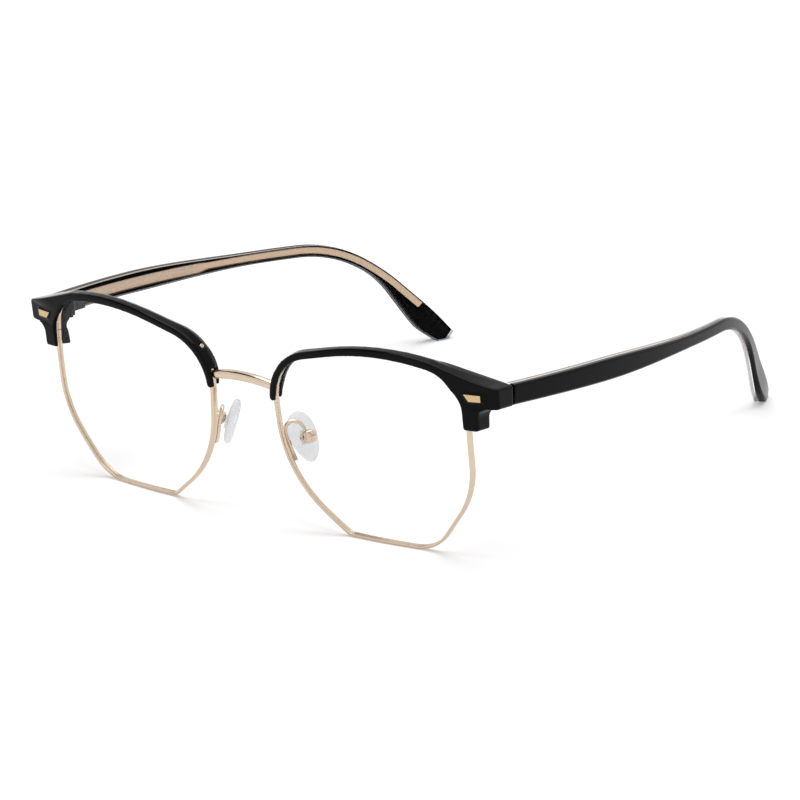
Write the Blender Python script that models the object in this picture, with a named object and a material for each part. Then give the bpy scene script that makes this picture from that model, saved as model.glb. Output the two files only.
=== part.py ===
"""Half rim eyeglasses: acetate brows over metal eyewires, with folding two-layer temples.

Metres, +Z up. The front faces -Y, the temples run back along +Y and the wearer's left is +X.
Every paired piece is worked out for the left side and mirrored for the right.
The lens centres lie at height zero while the pieces are made, and at the end the whole is
stood on the floor with its middle over the origin.
"""

import math

import bmesh
import bpy
from mathutils import Matrix, Vector
from mathutils.geometry import interpolate_bezier

MM = 0.001
DEG = math.pi / 180.0

# Gaps between neighbours
FIT = 0.15 * MM
HINGE_GAP = 0.2 * MM
SEAM_GAP = 0.3 * MM
LAMINATION_GAP = 0.1 * MM

# Pose of each lens
LENS_CENTRES = 70.9 * MM
FRONT_TILT = 6.3 * DEG
FRONT_WRAP = 4.6 * DEG

# Lens outline: its box, then how far each corner lies in from the box
LENS_WIDTH = 53.2 * MM
LENS_HEIGHT = 49.5 * MM
BOTTOM_NASAL_INSET = 17.8 * MM
BOTTOM_NASAL_RISE = 0.5 * MM
BOTTOM_TEMPLE_INSET = 11.9 * MM
TEMPLE_KNEE_RISE = 16.2 * MM
TOP_TEMPLE_DROP = 4.8 * MM
CROWN_SHIFT = 4.4 * MM
TOP_NASAL_DROP = 7.35 * MM
NASAL_KNEE_INSET = 1.9 * MM
NASAL_KNEE_RISE = 13.5 * MM
BOTTOM_NASAL_RADIUS = 3.0 * MM
BOTTOM_TEMPLE_RADIUS = 11.0 * MM
TEMPLE_KNEE_RADIUS = 22.0 * MM
TOP_TEMPLE_RADIUS = 10.3 * MM
CROWN_RADIUS = 62.0 * MM
TOP_NASAL_RADIUS = 13.0 * MM
NASAL_KNEE_RADIUS = 29.0 * MM

# Lens body and eyewire section
LENS_CURVE = 140.0 * MM
LENS_THICKNESS = 1.1 * MM
LENS_BEVEL = 0.33 * MM
LENS_BEVEL_HALF = 0.25 * MM
EYEWIRE_DEPTH = 1.5 * MM
EYEWIRE_WALL = 0.42 * MM
EYEWIRE_LIP = 0.28 * MM
EYEWIRE_EDGE = 0.12 * MM

# Eyewire lock inside the brow's leg
LOCK_HEIGHT = 11.3 * MM
LOCK_GAP = 0.1 * MM
LOCK_HALF = 1.4 * MM
LOCK_WIDTH = 1.7 * MM
LOCK_SCREW_RADIUS = 0.4 * MM
LOCK_HEAD_RADIUS = 0.65 * MM
LOCK_HEAD_HEIGHT = 0.45 * MM

# Brow section and ends
BROW_FRONT_WALL = 0.7 * MM
BROW_CURVE = 320.0 * MM
END_CURVE = 22.0 * MM
BROW_REAR_LIP = 0.9 * MM
BROW_NASAL_DEPTH = 0.7 * MM
BROW_INNER_LIP = 0.65 * MM
BROW_CORNER_FILL = 0.65 * MM
BROW_WALL_NASAL = 0.6 * MM
BROW_WALL_SHOULDER = 0.55 * MM
BROW_WALL_CROWN = 0.6 * MM
BROW_WALL_TEMPLE = 0.85 * MM
BROW_BEVEL = 0.35 * MM
BROW_REAR_SLOPE = 2.3 * MM
BROW_REAR_DROP = 0.9 * MM
BROW_EDGE = 0.2 * MM
BROW_NASAL_TIP = 7.4 * MM
BROW_END_ROUND = 0.55 * MM
LEG_BOTTOM = 7.5 * MM
LEG_WIDTH = 3.3 * MM
LEG_SETBACK = 5.9 * MM
SCOOP_RADIUS = 2.2 * MM
END_REACH = 8.5 * MM
END_TOP = 18.0 * MM
END_HEIGHT = 5.0 * MM
END_INNER_SHARE = 0.65
END_ROUND = 0.35 * MM
END_FALL = 3.0
END_SAG = 0.1 * MM
END_REAR_TUCK = 2.2 * MM
SEAM_SETBACK = 8.1 * MM

# Trim on the brow
RIVET_TOP_WIDTH = 4.2 * MM
RIVET_BOTTOM_WIDTH = 3.0 * MM
RIVET_HEIGHT = 1.65 * MM
RIVET_INSET = 4.0 * MM
RIVET_DROP = 1.5 * MM
RIVET_THICKNESS = 0.6 * MM
RIVET_PROUD = 0.12 * MM
BROW_SCREW_RADIUS = 0.6 * MM
BROW_SCREW_HEIGHT = 16.1 * MM
BROW_SCREW_PROUD = 0.05 * MM

# Bridge
BRIDGE_HEIGHT = 10.4 * MM
BRIDGE_THICK = 2.1 * MM
BRIDGE_DEPTH = 1.8 * MM
BRIDGE_NECK_HEIGHT = 1.7 * MM
BRIDGE_NECK_DEPTH = 1.3 * MM
BRIDGE_ARCH = 1.0 * MM
BRIDGE_BOW = 0.5 * MM
BRIDGE_EDGE = 0.45 * MM

# Nose pads and their arms
PAD_SPREAD = 21.9 * MM
PAD_SETBACK = 5.75 * MM
PAD_DROP = 4.1 * MM
PAD_SPLAY = 25.0 * DEG
PAD_FRONTAL = 17.0 * DEG
PAD_LENGTH = 12.8 * MM
PAD_WIDTH = 7.1 * MM
PAD_THICKNESS = 1.7 * MM
PAD_LEAN = 14.0 * DEG
PAD_FULLNESS = 0.2
PAD_EDGE_SHARE = 0.2
PAD_ROCK_ROOM = 0.35 * MM
CORE_LENGTH = 3.4 * MM
CORE_WIDTH = 2.6 * MM
CORE_BASE = 0.45 * MM
TONGUE_THICK = 1.0 * MM
TONGUE_LENGTH = 1.4 * MM
TONGUE_REACH = 1.55 * MM
BOX_WIDTH = 3.0 * MM
BOX_LENGTH = 3.0 * MM
BOX_BACK = 0.7 * MM
BOX_ROOF = 0.4 * MM
PAD_SCREW_RADIUS = 0.35 * MM
PAD_SCREW_HEAD = 0.6 * MM
PAD_SCREW_HEAD_HEIGHT = 0.3 * MM
ARM_RADIUS = 0.45 * MM
ARM_FOOT_TOP = -3.6 * MM
ARM_FOOT_BOTTOM = -8.2 * MM
ARM_FOOT_THICK = 1.0 * MM
ARM_FOOT_WIDTH = 0.85 * MM
ARM_RISE = 5.6 * MM
ARM_SWING = 2.6 * MM
ARM_FALL = 3.4 * MM
ARM_LANDING = 0.9 * MM

# Hinges
HINGE_DROP = 0.75 * MM
HINGE_RADIUS = 1.05 * MM
HINGE_KNUCKLE = 1.0 * MM
HINGE_LEAF = 0.7 * MM
HINGE_FRONT_LEAF_WIDTH = 2.9 * MM
HINGE_TEMPLE_LEAF_LENGTH = 8.0 * MM
HINGE_SCREW_RADIUS = 0.45 * MM
HINGE_HEAD_RADIUS = 0.85 * MM
HINGE_HEAD_HEIGHT = 0.3 * MM

# Temples
TEMPLE_OUTER_THICK = 1.7 * MM
TEMPLE_INNER_THICK = 1.6 * MM
TIP_OUTER_THICK = 1.2 * MM
TIP_INNER_THICK = 1.3 * MM
THINNING_START = 55.0 * MM
THINNING_END = 95.0 * MM
TEMPLE_SLOPE = 4.0 * DEG
TEMPLE_DIP = 1.55 * DEG
TEMPLE_STRAIGHT = 92.0 * MM
TEMPLE_BEND_RADIUS = 43.2 * MM
TEMPLE_TIP_LENGTH = 22.0 * MM
TEMPLE_TIP_REST = -0.4 * MM
TEMPLE_SPLAY = 8.0 * DEG
TIP_TOE_IN = 25.5 * DEG
TIP_INSET = 18.9 * MM
TIP_END_RAKE = 15.0 * DEG
TIP_TUCK = 0.5
TIP_TUCK_LENGTH = 10.0 * MM
TIP_SWELL = 0.9 * MM
TIP_SWELL_LENGTH = 18.0 * MM
TEMPLE_FRONT_WIDTH = 4.8 * MM
TEMPLE_FULL_WIDTH = 5.1 * MM
TEMPLE_WAIST_WIDTH = 3.05 * MM
TEMPLE_PADDLE_WIDTH = 6.7 * MM
TEMPLE_FULL_END = 33.0 * MM
TEMPLE_WAIST_START = 77.0 * MM
TEMPLE_PADDLE_START = 115.0 * MM
TEMPLE_EDGE = 0.45 * MM

# Core wire between the temple's layers
CORE_START = 9.0 * MM
CORE_WIDE_END = 56.0 * MM
CORE_POINT_LENGTH = 4.0 * MM
CORE_END = 135.0 * MM
CORE_WIDE = 2.6 * MM
CORE_ROD = 1.7 * MM
CORE_ROD_RISE = 0.25 * MM
CORE_THICK = 0.7 * MM

# Mesh fineness
ARC_STEPS = 8
SIDE_STEPS = 4
LENS_RINGS = 3
END_STEPS = 3
SCOOP_STEPS = 4
BAND_STEPS = 3
BRIDGE_STEPS = 10
PAD_SIDES = 24
PAD_LEVELS = 4
ARM_STEPS = 14
FOOT_STEPS = 4
LEAF_STEPS = 4
TUBE_SIDES = 10
WIRE_SIDES = 8
KNUCKLE_SIDES = 16
TEMPLE_STEPS = 64
SHARP_ANGLE = 35.0 * DEG

LEFT = 1
RIGHT = -1
SIDE_NAMES = {LEFT: "left", RIGHT: "right"}
CORNER_BOTTOM_NASAL, CORNER_BOTTOM_TEMPLE, CORNER_TEMPLE_KNEE, CORNER_TOP_TEMPLE = range(4)
CORNER_CROWN, CORNER_TOP_NASAL, CORNER_NASAL_KNEE = range(4, 7)

# Directions of the left lens: across to the temple, up, and forward
TILT = Matrix.Rotation(FRONT_TILT, 3, "X")
LENS_ACROSS = TILT @ Vector((math.cos(FRONT_WRAP), math.sin(FRONT_WRAP), 0.0))
LENS_UP = TILT @ Vector((0.0, 0.0, 1.0))
LENS_FORWARD = LENS_ACROSS.cross(LENS_UP)
LENS_CENTRE = Vector((LENS_CENTRES / 2, 0.0, 0.0))
LENS_HALF = LENS_WIDTH / 2
LENS_BULGE = LENS_HALF**2 / (2 * LENS_CURVE)


# Scene and materials

for old in list(bpy.data.objects):
    bpy.data.objects.remove(old)


def finish(name, colour, roughness, metallic=0.0, alpha=1.0):
    material = bpy.data.materials.new(name)
    material.use_nodes = True
    shader = material.node_tree.nodes["Principled BSDF"]
    shader.inputs["Base Color"].default_value = (*colour, 1.0)
    shader.inputs["Roughness"].default_value = roughness
    shader.inputs["Metallic"].default_value = metallic
    shader.inputs["Alpha"].default_value = alpha
    return material


BLACK_ACETATE = finish("black_acetate", (0.01, 0.01, 0.01), 0.12)
CLEAR_ACETATE = finish("clear_acetate", (0.85, 0.8, 0.75), 0.08, alpha=0.4)
GOLD = finish("pale_gold", (0.85, 0.66, 0.48), 0.2, metallic=1.0)
LENS_PLASTIC = finish("lens_plastic", (0.95, 0.97, 0.98), 0.02, alpha=0.2)
DARK_STEEL = finish("dark_steel", (0.06, 0.055, 0.05), 0.3, metallic=1.0)
SILICONE = finish("silicone", (0.85, 0.86, 0.88), 0.3, alpha=0.6)

root = bpy.data.objects.new("eyeglasses", None)
bpy.context.scene.collection.objects.link(root)


def axis_empty(name, place):
    """An empty on a joint's axis, which carries the pieces that move on it."""
    empty = bpy.data.objects.new(name, None)
    empty.location = place
    empty.parent = root
    bpy.context.scene.collection.objects.link(empty)
    return empty


# Solids from rings of points

def loft(rings, closed=False):
    """Points and faces of a skin through rings of equal count, capped unless the run is closed."""
    count = len(rings[0])
    points = [point for ring in rings for point in ring]
    faces = []
    for i in range(len(rings) if closed else len(rings) - 1):
        a = i * count
        b = ((i + 1) % len(rings)) * count
        for j in range(count):
            k = (j + 1) % count
            faces.append((a + j, a + k, b + k, b + j))
    if not closed:
        faces.append(tuple(range(count)))
        faces.append(tuple(range(len(points) - count, len(points))))
    return points, faces


def block(centre, axes, sizes):
    """A box with its three edges along the given unit directions."""
    a, b, c = (axis * size / 2 for axis, size in zip(axes, sizes))
    face = (a + b, b - a, -a - b, a - b)
    return loft([[centre - c + p for p in face], [centre + c + p for p in face]])


def circle(centre, axis, radius, sides=TUBE_SIDES):
    """Points of a circle square to an axis."""
    across = axis.orthogonal().normalized()
    over = axis.cross(across).normalized()
    turns = [2 * math.pi * k / sides for k in range(sides)]
    return [centre + (across * math.cos(t) + over * math.sin(t)) * radius for t in turns]


def turned(centre, axis, profile, sides=TUBE_SIDES):
    """A turned piece from (distance along the axis, radius) pairs."""
    return loft([circle(centre + axis * along, axis, radius, sides) for along, radius in profile])


def tube(path, radius, sides=TUBE_SIDES):
    """A round wire along a run of points."""
    rings = []
    across = None
    for i, point in enumerate(path):
        heading = (path[min(i + 1, len(path) - 1)] - path[max(i - 1, 0)]).normalized()
        if across is None:
            across = heading.orthogonal()
        across = (across - heading * across.dot(heading)).normalized()
        over = heading.cross(across)
        turns = [2 * math.pi * k / sides for k in range(sides)]
        rings.append([point + (across * math.cos(t) + over * math.sin(t)) * radius for t in turns])
    return loft(rings)


def solid(name, skin, material, pivot=None, parent=None, side=LEFT):
    """One closed object from points and faces, mirrored to its side, with its origin at the pivot."""
    points, faces = skin
    pivot = Vector(pivot) if pivot is not None else Vector((0.0, 0.0, 0.0))
    mirror = Vector((side, 1.0, 1.0))
    mesh = bpy.data.meshes.new(name)
    mesh.from_pydata([(point - pivot) * mirror for point in points], [], faces)
    shape = bmesh.new()
    shape.from_mesh(mesh)
    bmesh.ops.recalc_face_normals(shape, faces=shape.faces)
    shape.to_mesh(mesh)
    shape.free()
    mesh.shade_smooth()
    mesh.set_sharp_from_angle(angle=SHARP_ANGLE)
    if material:
        mesh.materials.append(material)
    piece = bpy.data.objects.new(name, mesh)
    bpy.context.scene.collection.objects.link(piece)
    piece.parent = parent or root
    piece.location = pivot * mirror
    if parent:
        piece.location -= parent.location
    return piece


def pair(name, skin, material, pivot=None, parents=None):
    """The left and the right copy of a piece."""
    return {
        side: solid(f"{name}_{word}", skin, material, pivot, parents[side] if parents else None, side)
        for side, word in SIDE_NAMES.items()
    }


def shape_by(pieces, helper_name, skin, operation="DIFFERENCE"):
    """Cuts a helper shape out of both copies of a piece, or joins it to them."""
    helpers = pair(f"{helper_name}_helper", skin, None)
    for side, piece in pieces.items():
        helpers[side].hide_render = True
        helpers[side].display_type = "WIRE"
        change = piece.modifiers.new(helper_name, "BOOLEAN")
        change.operation = operation
        change.solver = "EXACT"
        change.object = helpers[side]


# Lens outline

def mix(start, end, share):
    return start + (end - start) * share


def smooth(share):
    """An eased share, level at 0 and at 1."""
    share = min(max(share, 0.0), 1.0)
    return share * share * (3.0 - 2.0 * share)


def lens_corners(outset):
    """The corners with every side moved outward: place, radius and the sides' two directions."""
    low = -LENS_HEIGHT / 2
    high = LENS_HEIGHT / 2
    places = (
        Vector((BOTTOM_NASAL_INSET - LENS_HALF, low + BOTTOM_NASAL_RISE)),
        Vector((LENS_HALF - BOTTOM_TEMPLE_INSET, low)),
        Vector((LENS_HALF, low + TEMPLE_KNEE_RISE)),
        Vector((LENS_HALF, high - TOP_TEMPLE_DROP)),
        Vector((CROWN_SHIFT, high)),
        Vector((-LENS_HALF, high - TOP_NASAL_DROP)),
        Vector((NASAL_KNEE_INSET - LENS_HALF, low + NASAL_KNEE_RISE)),
    )
    radii = (
        BOTTOM_NASAL_RADIUS,
        BOTTOM_TEMPLE_RADIUS,
        TEMPLE_KNEE_RADIUS,
        TOP_TEMPLE_RADIUS,
        CROWN_RADIUS,
        TOP_NASAL_RADIUS,
        NASAL_KNEE_RADIUS,
    )
    corners = []
    for i, (place, radius) in enumerate(zip(places, radii)):
        before = (place - places[i - 1]).normalized()
        after = (places[(i + 1) % len(places)] - place).normalized()
        mitre = Vector((before.y + after.y, -before.x - after.x)) / (1.0 + before.dot(after))
        corners.append((place + mitre * outset, radius + outset, before, after))
    return corners


def corner_arc(corner):
    """Centre, radius, first angle and turn of a rounded corner."""
    place, radius, before, after = corner
    turn = math.atan2(before.x * after.y - before.y * after.x, before.dot(after))
    start = place - before * (radius * math.tan(turn / 2))
    centre = start + Vector((-before.y, before.x)) * radius
    spoke = start - centre
    return centre, radius, math.atan2(spoke.y, spoke.x), turn


def on_arc(arc, fraction):
    centre, radius, first, turn = arc
    angle = first + turn * fraction
    return centre + Vector((math.cos(angle), math.sin(angle))) * radius


def fraction_at(arc, place):
    """How far round an arc a place lies, from its start at 0 to its end at 1."""
    centre, _, first, turn = arc
    spoke = place - centre
    return min(max((math.atan2(spoke.y, spoke.x) - first) / turn, 0.0), 1.0)


def edge_at(height, outset, toward):
    """The outline's point at a height, on the temple side (toward 1) or the nasal side (toward -1)."""
    arcs = [corner_arc(corner) for corner in lens_corners(outset)]
    found = []
    for i, arc in enumerate(arcs):
        centre, radius, first, turn = arc
        rise = (height - centre.y) / radius
        if abs(rise) <= 1.0:
            for angle in (math.asin(rise), math.pi - math.asin(rise)):
                past = (angle - first) % (2 * math.pi)
                if past <= turn:
                    found.append(centre.x + radius * math.cos(angle))
        start = on_arc(arc, 1.0)
        end = on_arc(arcs[(i + 1) % len(arcs)], 0.0)
        if (start.y - height) * (end.y - height) < 0.0:
            found.append(start.lerp(end, (height - start.y) / (end.y - start.y)).x)
    return Vector((max(found) if toward > 0 else min(found), height))


def between(start, end, steps):
    return [start.lerp(end, k / steps) for k in range(1, steps)]


def eyewire_path(outset):
    """The outline from just above the lock's split, round the lens, to just below it."""
    arcs = [corner_arc(corner) for corner in lens_corners(outset)]
    path = [edge_at(LOCK_HEIGHT + LOCK_GAP / 2, outset, LEFT)]
    begin = fraction_at(arcs[CORNER_TOP_TEMPLE], path[0])
    for k in range(1, ARC_STEPS + 1):
        path.append(on_arc(arcs[CORNER_TOP_TEMPLE], mix(begin, 1.0, k / ARC_STEPS)))
    for k in range(1, len(arcs)):
        arc = arcs[(CORNER_TOP_TEMPLE + k) % len(arcs)]
        path += between(path[-1], on_arc(arc, 0.0), SIDE_STEPS)
        path += [on_arc(arc, step / ARC_STEPS) for step in range(ARC_STEPS + 1)]
    last = edge_at(LOCK_HEIGHT - LOCK_GAP / 2, outset, LEFT)
    return path + between(path[-1], last, SIDE_STEPS) + [last]


def rim_point(place, depth):
    """A point of the lens's curved face, set back by a depth."""
    sag = LENS_CURVE - math.sqrt(LENS_CURVE**2 - place.length_squared)
    forward = LENS_BULGE - sag - depth
    return LENS_CENTRE + LENS_ACROSS * place.x + LENS_UP * place.y + LENS_FORWARD * forward


def brow_point(place, depth):
    """A point of the brow's front face, set back by a depth. Past the lens it turns back faster."""
    across = min(abs(place.x), LENS_HALF)
    past = abs(place.x) - across
    curve = (LENS_HALF**2 - across**2) / (2 * BROW_CURVE) - past**2 / (2 * END_CURVE)
    forward = BROW_FRONT_WALL + curve - depth
    return LENS_CENTRE + LENS_ACROSS * place.x + LENS_UP * place.y + LENS_FORWARD * forward


# Eyewires: a grooved metal section bent round each lens

GROOVE_HALF = LENS_BEVEL_HALF + FIT
GROOVE_MIDDLE = EYEWIRE_DEPTH / 2
eyewire_section = (
    (EYEWIRE_WALL, EYEWIRE_EDGE),
    (EYEWIRE_WALL, EYEWIRE_DEPTH - EYEWIRE_EDGE),
    (EYEWIRE_WALL - EYEWIRE_EDGE, EYEWIRE_DEPTH),
    (-EYEWIRE_LIP, EYEWIRE_DEPTH),
    (-EYEWIRE_LIP, GROOVE_MIDDLE + GROOVE_HALF),
    (FIT, GROOVE_MIDDLE),
    (-EYEWIRE_LIP, GROOVE_MIDDLE - GROOVE_HALF),
    (-EYEWIRE_LIP, 0.0),
    (EYEWIRE_WALL - EYEWIRE_EDGE, 0.0),
)
eyewire_lines = [
    [rim_point(place, depth) for place in eyewire_path(outset)] for outset, depth in eyewire_section
]
eyewire_skin = loft([list(ring) for ring in zip(*eyewire_lines)])
pair("eyewire", eyewire_skin, GOLD)
FLOOR = min(point.z for point in eyewire_skin[0])


# Lenses: two curved faces and a bevelled edge that sits in the eyewire's groove

lens_shrinks = [k / LENS_RINGS for k in range(1, LENS_RINGS + 1)]
lens_front = GROOVE_MIDDLE - LENS_THICKNESS / 2
lens_back = GROOVE_MIDDLE + LENS_THICKNESS / 2
lens_rim_path = eyewire_path(-EYEWIRE_LIP - FIT)
lens_bevel_path = eyewire_path(LENS_BEVEL - EYEWIRE_LIP - FIT)


def lens_ring(path, shrink, depth):
    return [rim_point(place * shrink, depth) for place in path]


lens_rings = [lens_ring(lens_rim_path, shrink, lens_front) for shrink in lens_shrinks]
lens_rings.append(lens_ring(lens_rim_path, 1.0, GROOVE_MIDDLE - LENS_BEVEL_HALF))
lens_rings.append(lens_ring(lens_bevel_path, 1.0, GROOVE_MIDDLE))
lens_rings.append(lens_ring(lens_rim_path, 1.0, GROOVE_MIDDLE + LENS_BEVEL_HALF))
lens_rings += [lens_ring(lens_rim_path, shrink, lens_back) for shrink in reversed(lens_shrinks)]
pair("lens", loft(lens_rings), LENS_PLASTIC)


# Eyewire locks: two small blocks on the ends of the split eyewire and the screw that closes them

lock_axes = (LENS_ACROSS, LENS_FORWARD, LENS_UP)
lock_edge = edge_at(LOCK_HEIGHT, EYEWIRE_WALL + FIT, LEFT)
lock_middle = rim_point(lock_edge, GROOVE_MIDDLE) + LENS_ACROSS * (LOCK_WIDTH / 2)
lock_sizes = (LOCK_WIDTH, EYEWIRE_DEPTH, LOCK_HALF)
lock_reach = LOCK_GAP / 2 + LOCK_HALF
lock_screw_bore = turned(
    lock_middle,
    LENS_UP,
    ((-lock_reach - LOCK_HEAD_HEIGHT, LOCK_SCREW_RADIUS + FIT), (lock_reach + FIT, LOCK_SCREW_RADIUS + FIT)),
)
for word, toward in (("upper", 1), ("lower", -1)):
    half_centre = lock_middle + LENS_UP * (toward * (LOCK_GAP + LOCK_HALF) / 2)
    lock_half = pair(f"rim_lock_{word}", block(half_centre, lock_axes, lock_sizes), GOLD)
    shape_by(lock_half, f"rim_lock_{word}_bore", lock_screw_bore)
lock_screw_profile = (
    (-lock_reach - FIT - LOCK_HEAD_HEIGHT, LOCK_HEAD_RADIUS),
    (-lock_reach - FIT, LOCK_HEAD_RADIUS),
    (-lock_reach - FIT, LOCK_SCREW_RADIUS),
    (lock_reach, LOCK_SCREW_RADIUS),
)
pair("rim_lock_screw", turned(lock_middle, LENS_UP, lock_screw_profile), GOLD)


# Brows: a grooved acetate bar over the eyewire, from the nasal tip to the end piece and its leg

END_OUT = LENS_HALF + END_REACH
END_BOTTOM = END_TOP - END_HEIGHT
LEG_OUT = LENS_HALF + LEG_WIDTH
LIP_OUTSET = -BROW_INNER_LIP
GROOVE_OUTSET = EYEWIRE_WALL + FIT


def end_round(step):
    """Rise and pinch of one step of a rounded end, from its flat to its full section."""
    turn = math.pi / 2 * step / END_STEPS
    return BROW_END_ROUND * (1.0 - math.cos(turn)), BROW_END_ROUND * (1.0 - math.sin(turn))


def corner_lip(share):
    """The inner lip's outset, which covers more of the lens round the upper temple corner."""
    return LIP_OUTSET - BROW_CORNER_FILL * math.sin(math.pi * min(max(share, 0.0), 1.0)) ** 2


def by_height(height, outer, setback, pinch=0.0):
    """A station across the leg or the end piece, level with a height on the lens outline."""
    lip = edge_at(height, corner_lip((height - END_BOTTOM) / (2 * END_HEIGHT)), LEFT)
    groove = edge_at(height, GROOVE_OUTSET, LEFT)
    return lip, groove, outer, 1.0, setback, pinch


def leg_stations():
    """From the leg's bottom, round the scoop and the end piece, to its top corner."""
    scoop_centre = Vector((LEG_OUT + SCOOP_RADIUS, END_BOTTOM - SCOOP_RADIUS))
    stations = []
    for step in range(END_STEPS + 1):
        rise, pinch = end_round(step)
        height = LEG_BOTTOM + rise
        stations.append(by_height(height, Vector((LEG_OUT, height)), LEG_SETBACK, pinch))
    for step in range(SCOOP_STEPS + 1):
        share = step / SCOOP_STEPS
        angle = math.pi * (1.0 - share / 2)
        outer = scoop_centre + Vector((math.cos(angle), math.sin(angle))) * SCOOP_RADIUS
        setback = mix(LEG_SETBACK, SEAM_SETBACK, smooth(share))
        stations.append(by_height(outer.y, outer, setback))
    corners = (
        Vector((END_OUT - END_ROUND, END_BOTTOM)),
        Vector((END_OUT, END_BOTTOM + END_ROUND)),
        Vector((END_OUT, END_TOP - END_ROUND)),
        Vector((END_OUT - END_ROUND, END_TOP)),
    )
    for k, outer in enumerate(corners, 1):
        height = END_BOTTOM + END_HEIGHT * END_INNER_SHARE * k / len(corners)
        stations.append(by_height(height, outer, SEAM_SETBACK))
    return stations


def band_station(fraction_of, arc_index, fraction, wall, pinch=0.0):
    """A station of the bar proper, square to the lens outline."""
    lip, groove, outer = (
        fraction_of(arc_index, fraction, outset)
        for outset in (LIP_OUTSET, GROOVE_OUTSET, GROOVE_OUTSET + wall)
    )
    return lip, groove, outer, 0.0, SEAM_SETBACK, pinch


def arc_place(corner, fraction, outset):
    return on_arc(corner_arc(lens_corners(outset)[corner]), fraction)


def side_place(corner, fraction, outset):
    start = arc_place(corner, 1.0, outset)
    return start.lerp(arc_place(corner + 1, 0.0, outset), fraction)


def nasal_place(corner, height, outset):
    return edge_at(height, outset, RIGHT)


def brow_stations():
    """From the leg's bottom to the nasal tip: lip, groove, outer edge, end share, setback, pinch."""
    stations = leg_stations()
    end_lip, _, end_corner, _, _, _ = stations[-1]
    first = fraction_at(corner_arc(lens_corners(LIP_OUTSET)[CORNER_TOP_TEMPLE]), end_lip)
    top_outer = arc_place(CORNER_TOP_TEMPLE, 1.0, GROOVE_OUTSET + BROW_WALL_TEMPLE)
    for step in range(1, ARC_STEPS + 1):
        share = step / ARC_STEPS
        fraction = mix(first, 1.0, share)
        groove = arc_place(CORNER_TOP_TEMPLE, fraction, GROOVE_OUTSET)
        lip = arc_place(CORNER_TOP_TEMPLE, fraction, corner_lip((groove.y - END_BOTTOM) / (2 * END_HEIGHT)))
        outer = end_corner.lerp(top_outer, share) - Vector((0.0, END_SAG * math.sin(math.pi * share)))
        stations.append((lip, groove, outer, (1.0 - share) ** END_FALL, SEAM_SETBACK, 0.0))
    for step in range(ARC_STEPS + 1):
        share = step / ARC_STEPS
        wall = mix(BROW_WALL_TEMPLE, BROW_WALL_CROWN, smooth(share))
        stations.append(band_station(arc_place, CORNER_CROWN, share, wall))
    for step in range(1, BAND_STEPS):
        wall = mix(BROW_WALL_CROWN, BROW_WALL_SHOULDER, step / BAND_STEPS)
        stations.append(band_station(side_place, CORNER_CROWN, step / BAND_STEPS, wall))
    for step in range(ARC_STEPS):
        fraction = step / (2 * ARC_STEPS)
        stations.append(band_station(arc_place, CORNER_TOP_NASAL, fraction, BROW_WALL_SHOULDER))
    shoulder = stations[-1][0].y
    last = BROW_NASAL_TIP + BROW_END_ROUND
    for step in range(1, ARC_STEPS):
        share = step / ARC_STEPS
        wall = mix(BROW_WALL_SHOULDER, BROW_WALL_NASAL, smooth(share))
        stations.append(band_station(nasal_place, None, mix(shoulder, last, share), wall))
    for step in reversed(range(END_STEPS + 1)):
        rise, pinch = end_round(step)
        stations.append(band_station(nasal_place, None, BROW_NASAL_TIP + rise, BROW_WALL_NASAL, pinch))
    return stations


def to_seam(point, setback=SEAM_SETBACK):
    """The point carried back along the temple's slope to the hinge seam, or to another setback."""
    back = setback - point.y
    return point + Vector((0.0, back, -back * math.tan(TEMPLE_SLOPE)))


def brow_ring(station):
    """The bar's section at one station, front face first, then round to the groove."""
    lip, groove, outer, end_share, setback, pinch = station
    across = (outer - groove).normalized()
    inner = lip + across * pinch
    outer = outer - across * pinch
    width = (outer - inner).length
    edge = min(BROW_EDGE, width / 5)
    bevel = min(BROW_BEVEL, width / 4)
    drop = min(mix(BROW_REAR_DROP, END_ROUND, end_share), width / 2)
    slope = min(mix(BROW_REAR_SLOPE, END_ROUND, end_share), width)
    nasal_share = smooth(-groove.x / LENS_HALF) * smooth((groove.y - BROW_NASAL_TIP) / (2 * BRIDGE_THICK))
    rear_depth = EYEWIRE_DEPTH + FIT + BROW_REAR_LIP + BROW_NASAL_DEPTH * nasal_share

    def rear(place):
        return rim_point(place, rear_depth).lerp(to_seam(brow_point(place, 0.0), setback), end_share)

    top = brow_point(outer, bevel)
    back = rear(outer)
    block_share = end_share * smooth(1.0 + (groove.y - END_BOTTOM) / LEG_WIDTH)
    inner_rear = inner + across * (END_REAR_TUCK * block_share)
    inner_back = rear(inner_rear)
    groove_back = rim_point(lip, EYEWIRE_DEPTH + FIT)
    return [
        brow_point(inner, edge),
        brow_point(inner + across * edge, 0.0),
        brow_point(outer - across * bevel, 0.0),
        top,
        back + (top - back).normalized() * slope,
        rear(outer - across * drop),
        rear(inner_rear + across * edge),
        inner_back + (groove_back - inner_back).normalized() * edge,
        groove_back,
        rim_point(groove, EYEWIRE_DEPTH + FIT),
        rim_point(groove, -FIT),
        rim_point(lip, -FIT),
    ]


stations = brow_stations()
brow_rings = [brow_ring(station) for station in stations]
brow = pair("brow", loft(brow_rings), BLACK_ACETATE)
lock_room = (
    LOCK_WIDTH + 2 * FIT + GROOVE_OUTSET,
    EYEWIRE_DEPTH + 2 * FIT,
    2 * (lock_reach + LOCK_HEAD_HEIGHT + 2 * FIT),
)
lock_room_centre = lock_middle + LENS_ACROSS * ((2 * FIT - lock_room[0] + LOCK_WIDTH) / 2)
shape_by(brow, "lock_room", block(lock_room_centre, lock_axes, lock_room))


# Rivet plates: gold trapezoids let into the front of the end pieces

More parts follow.
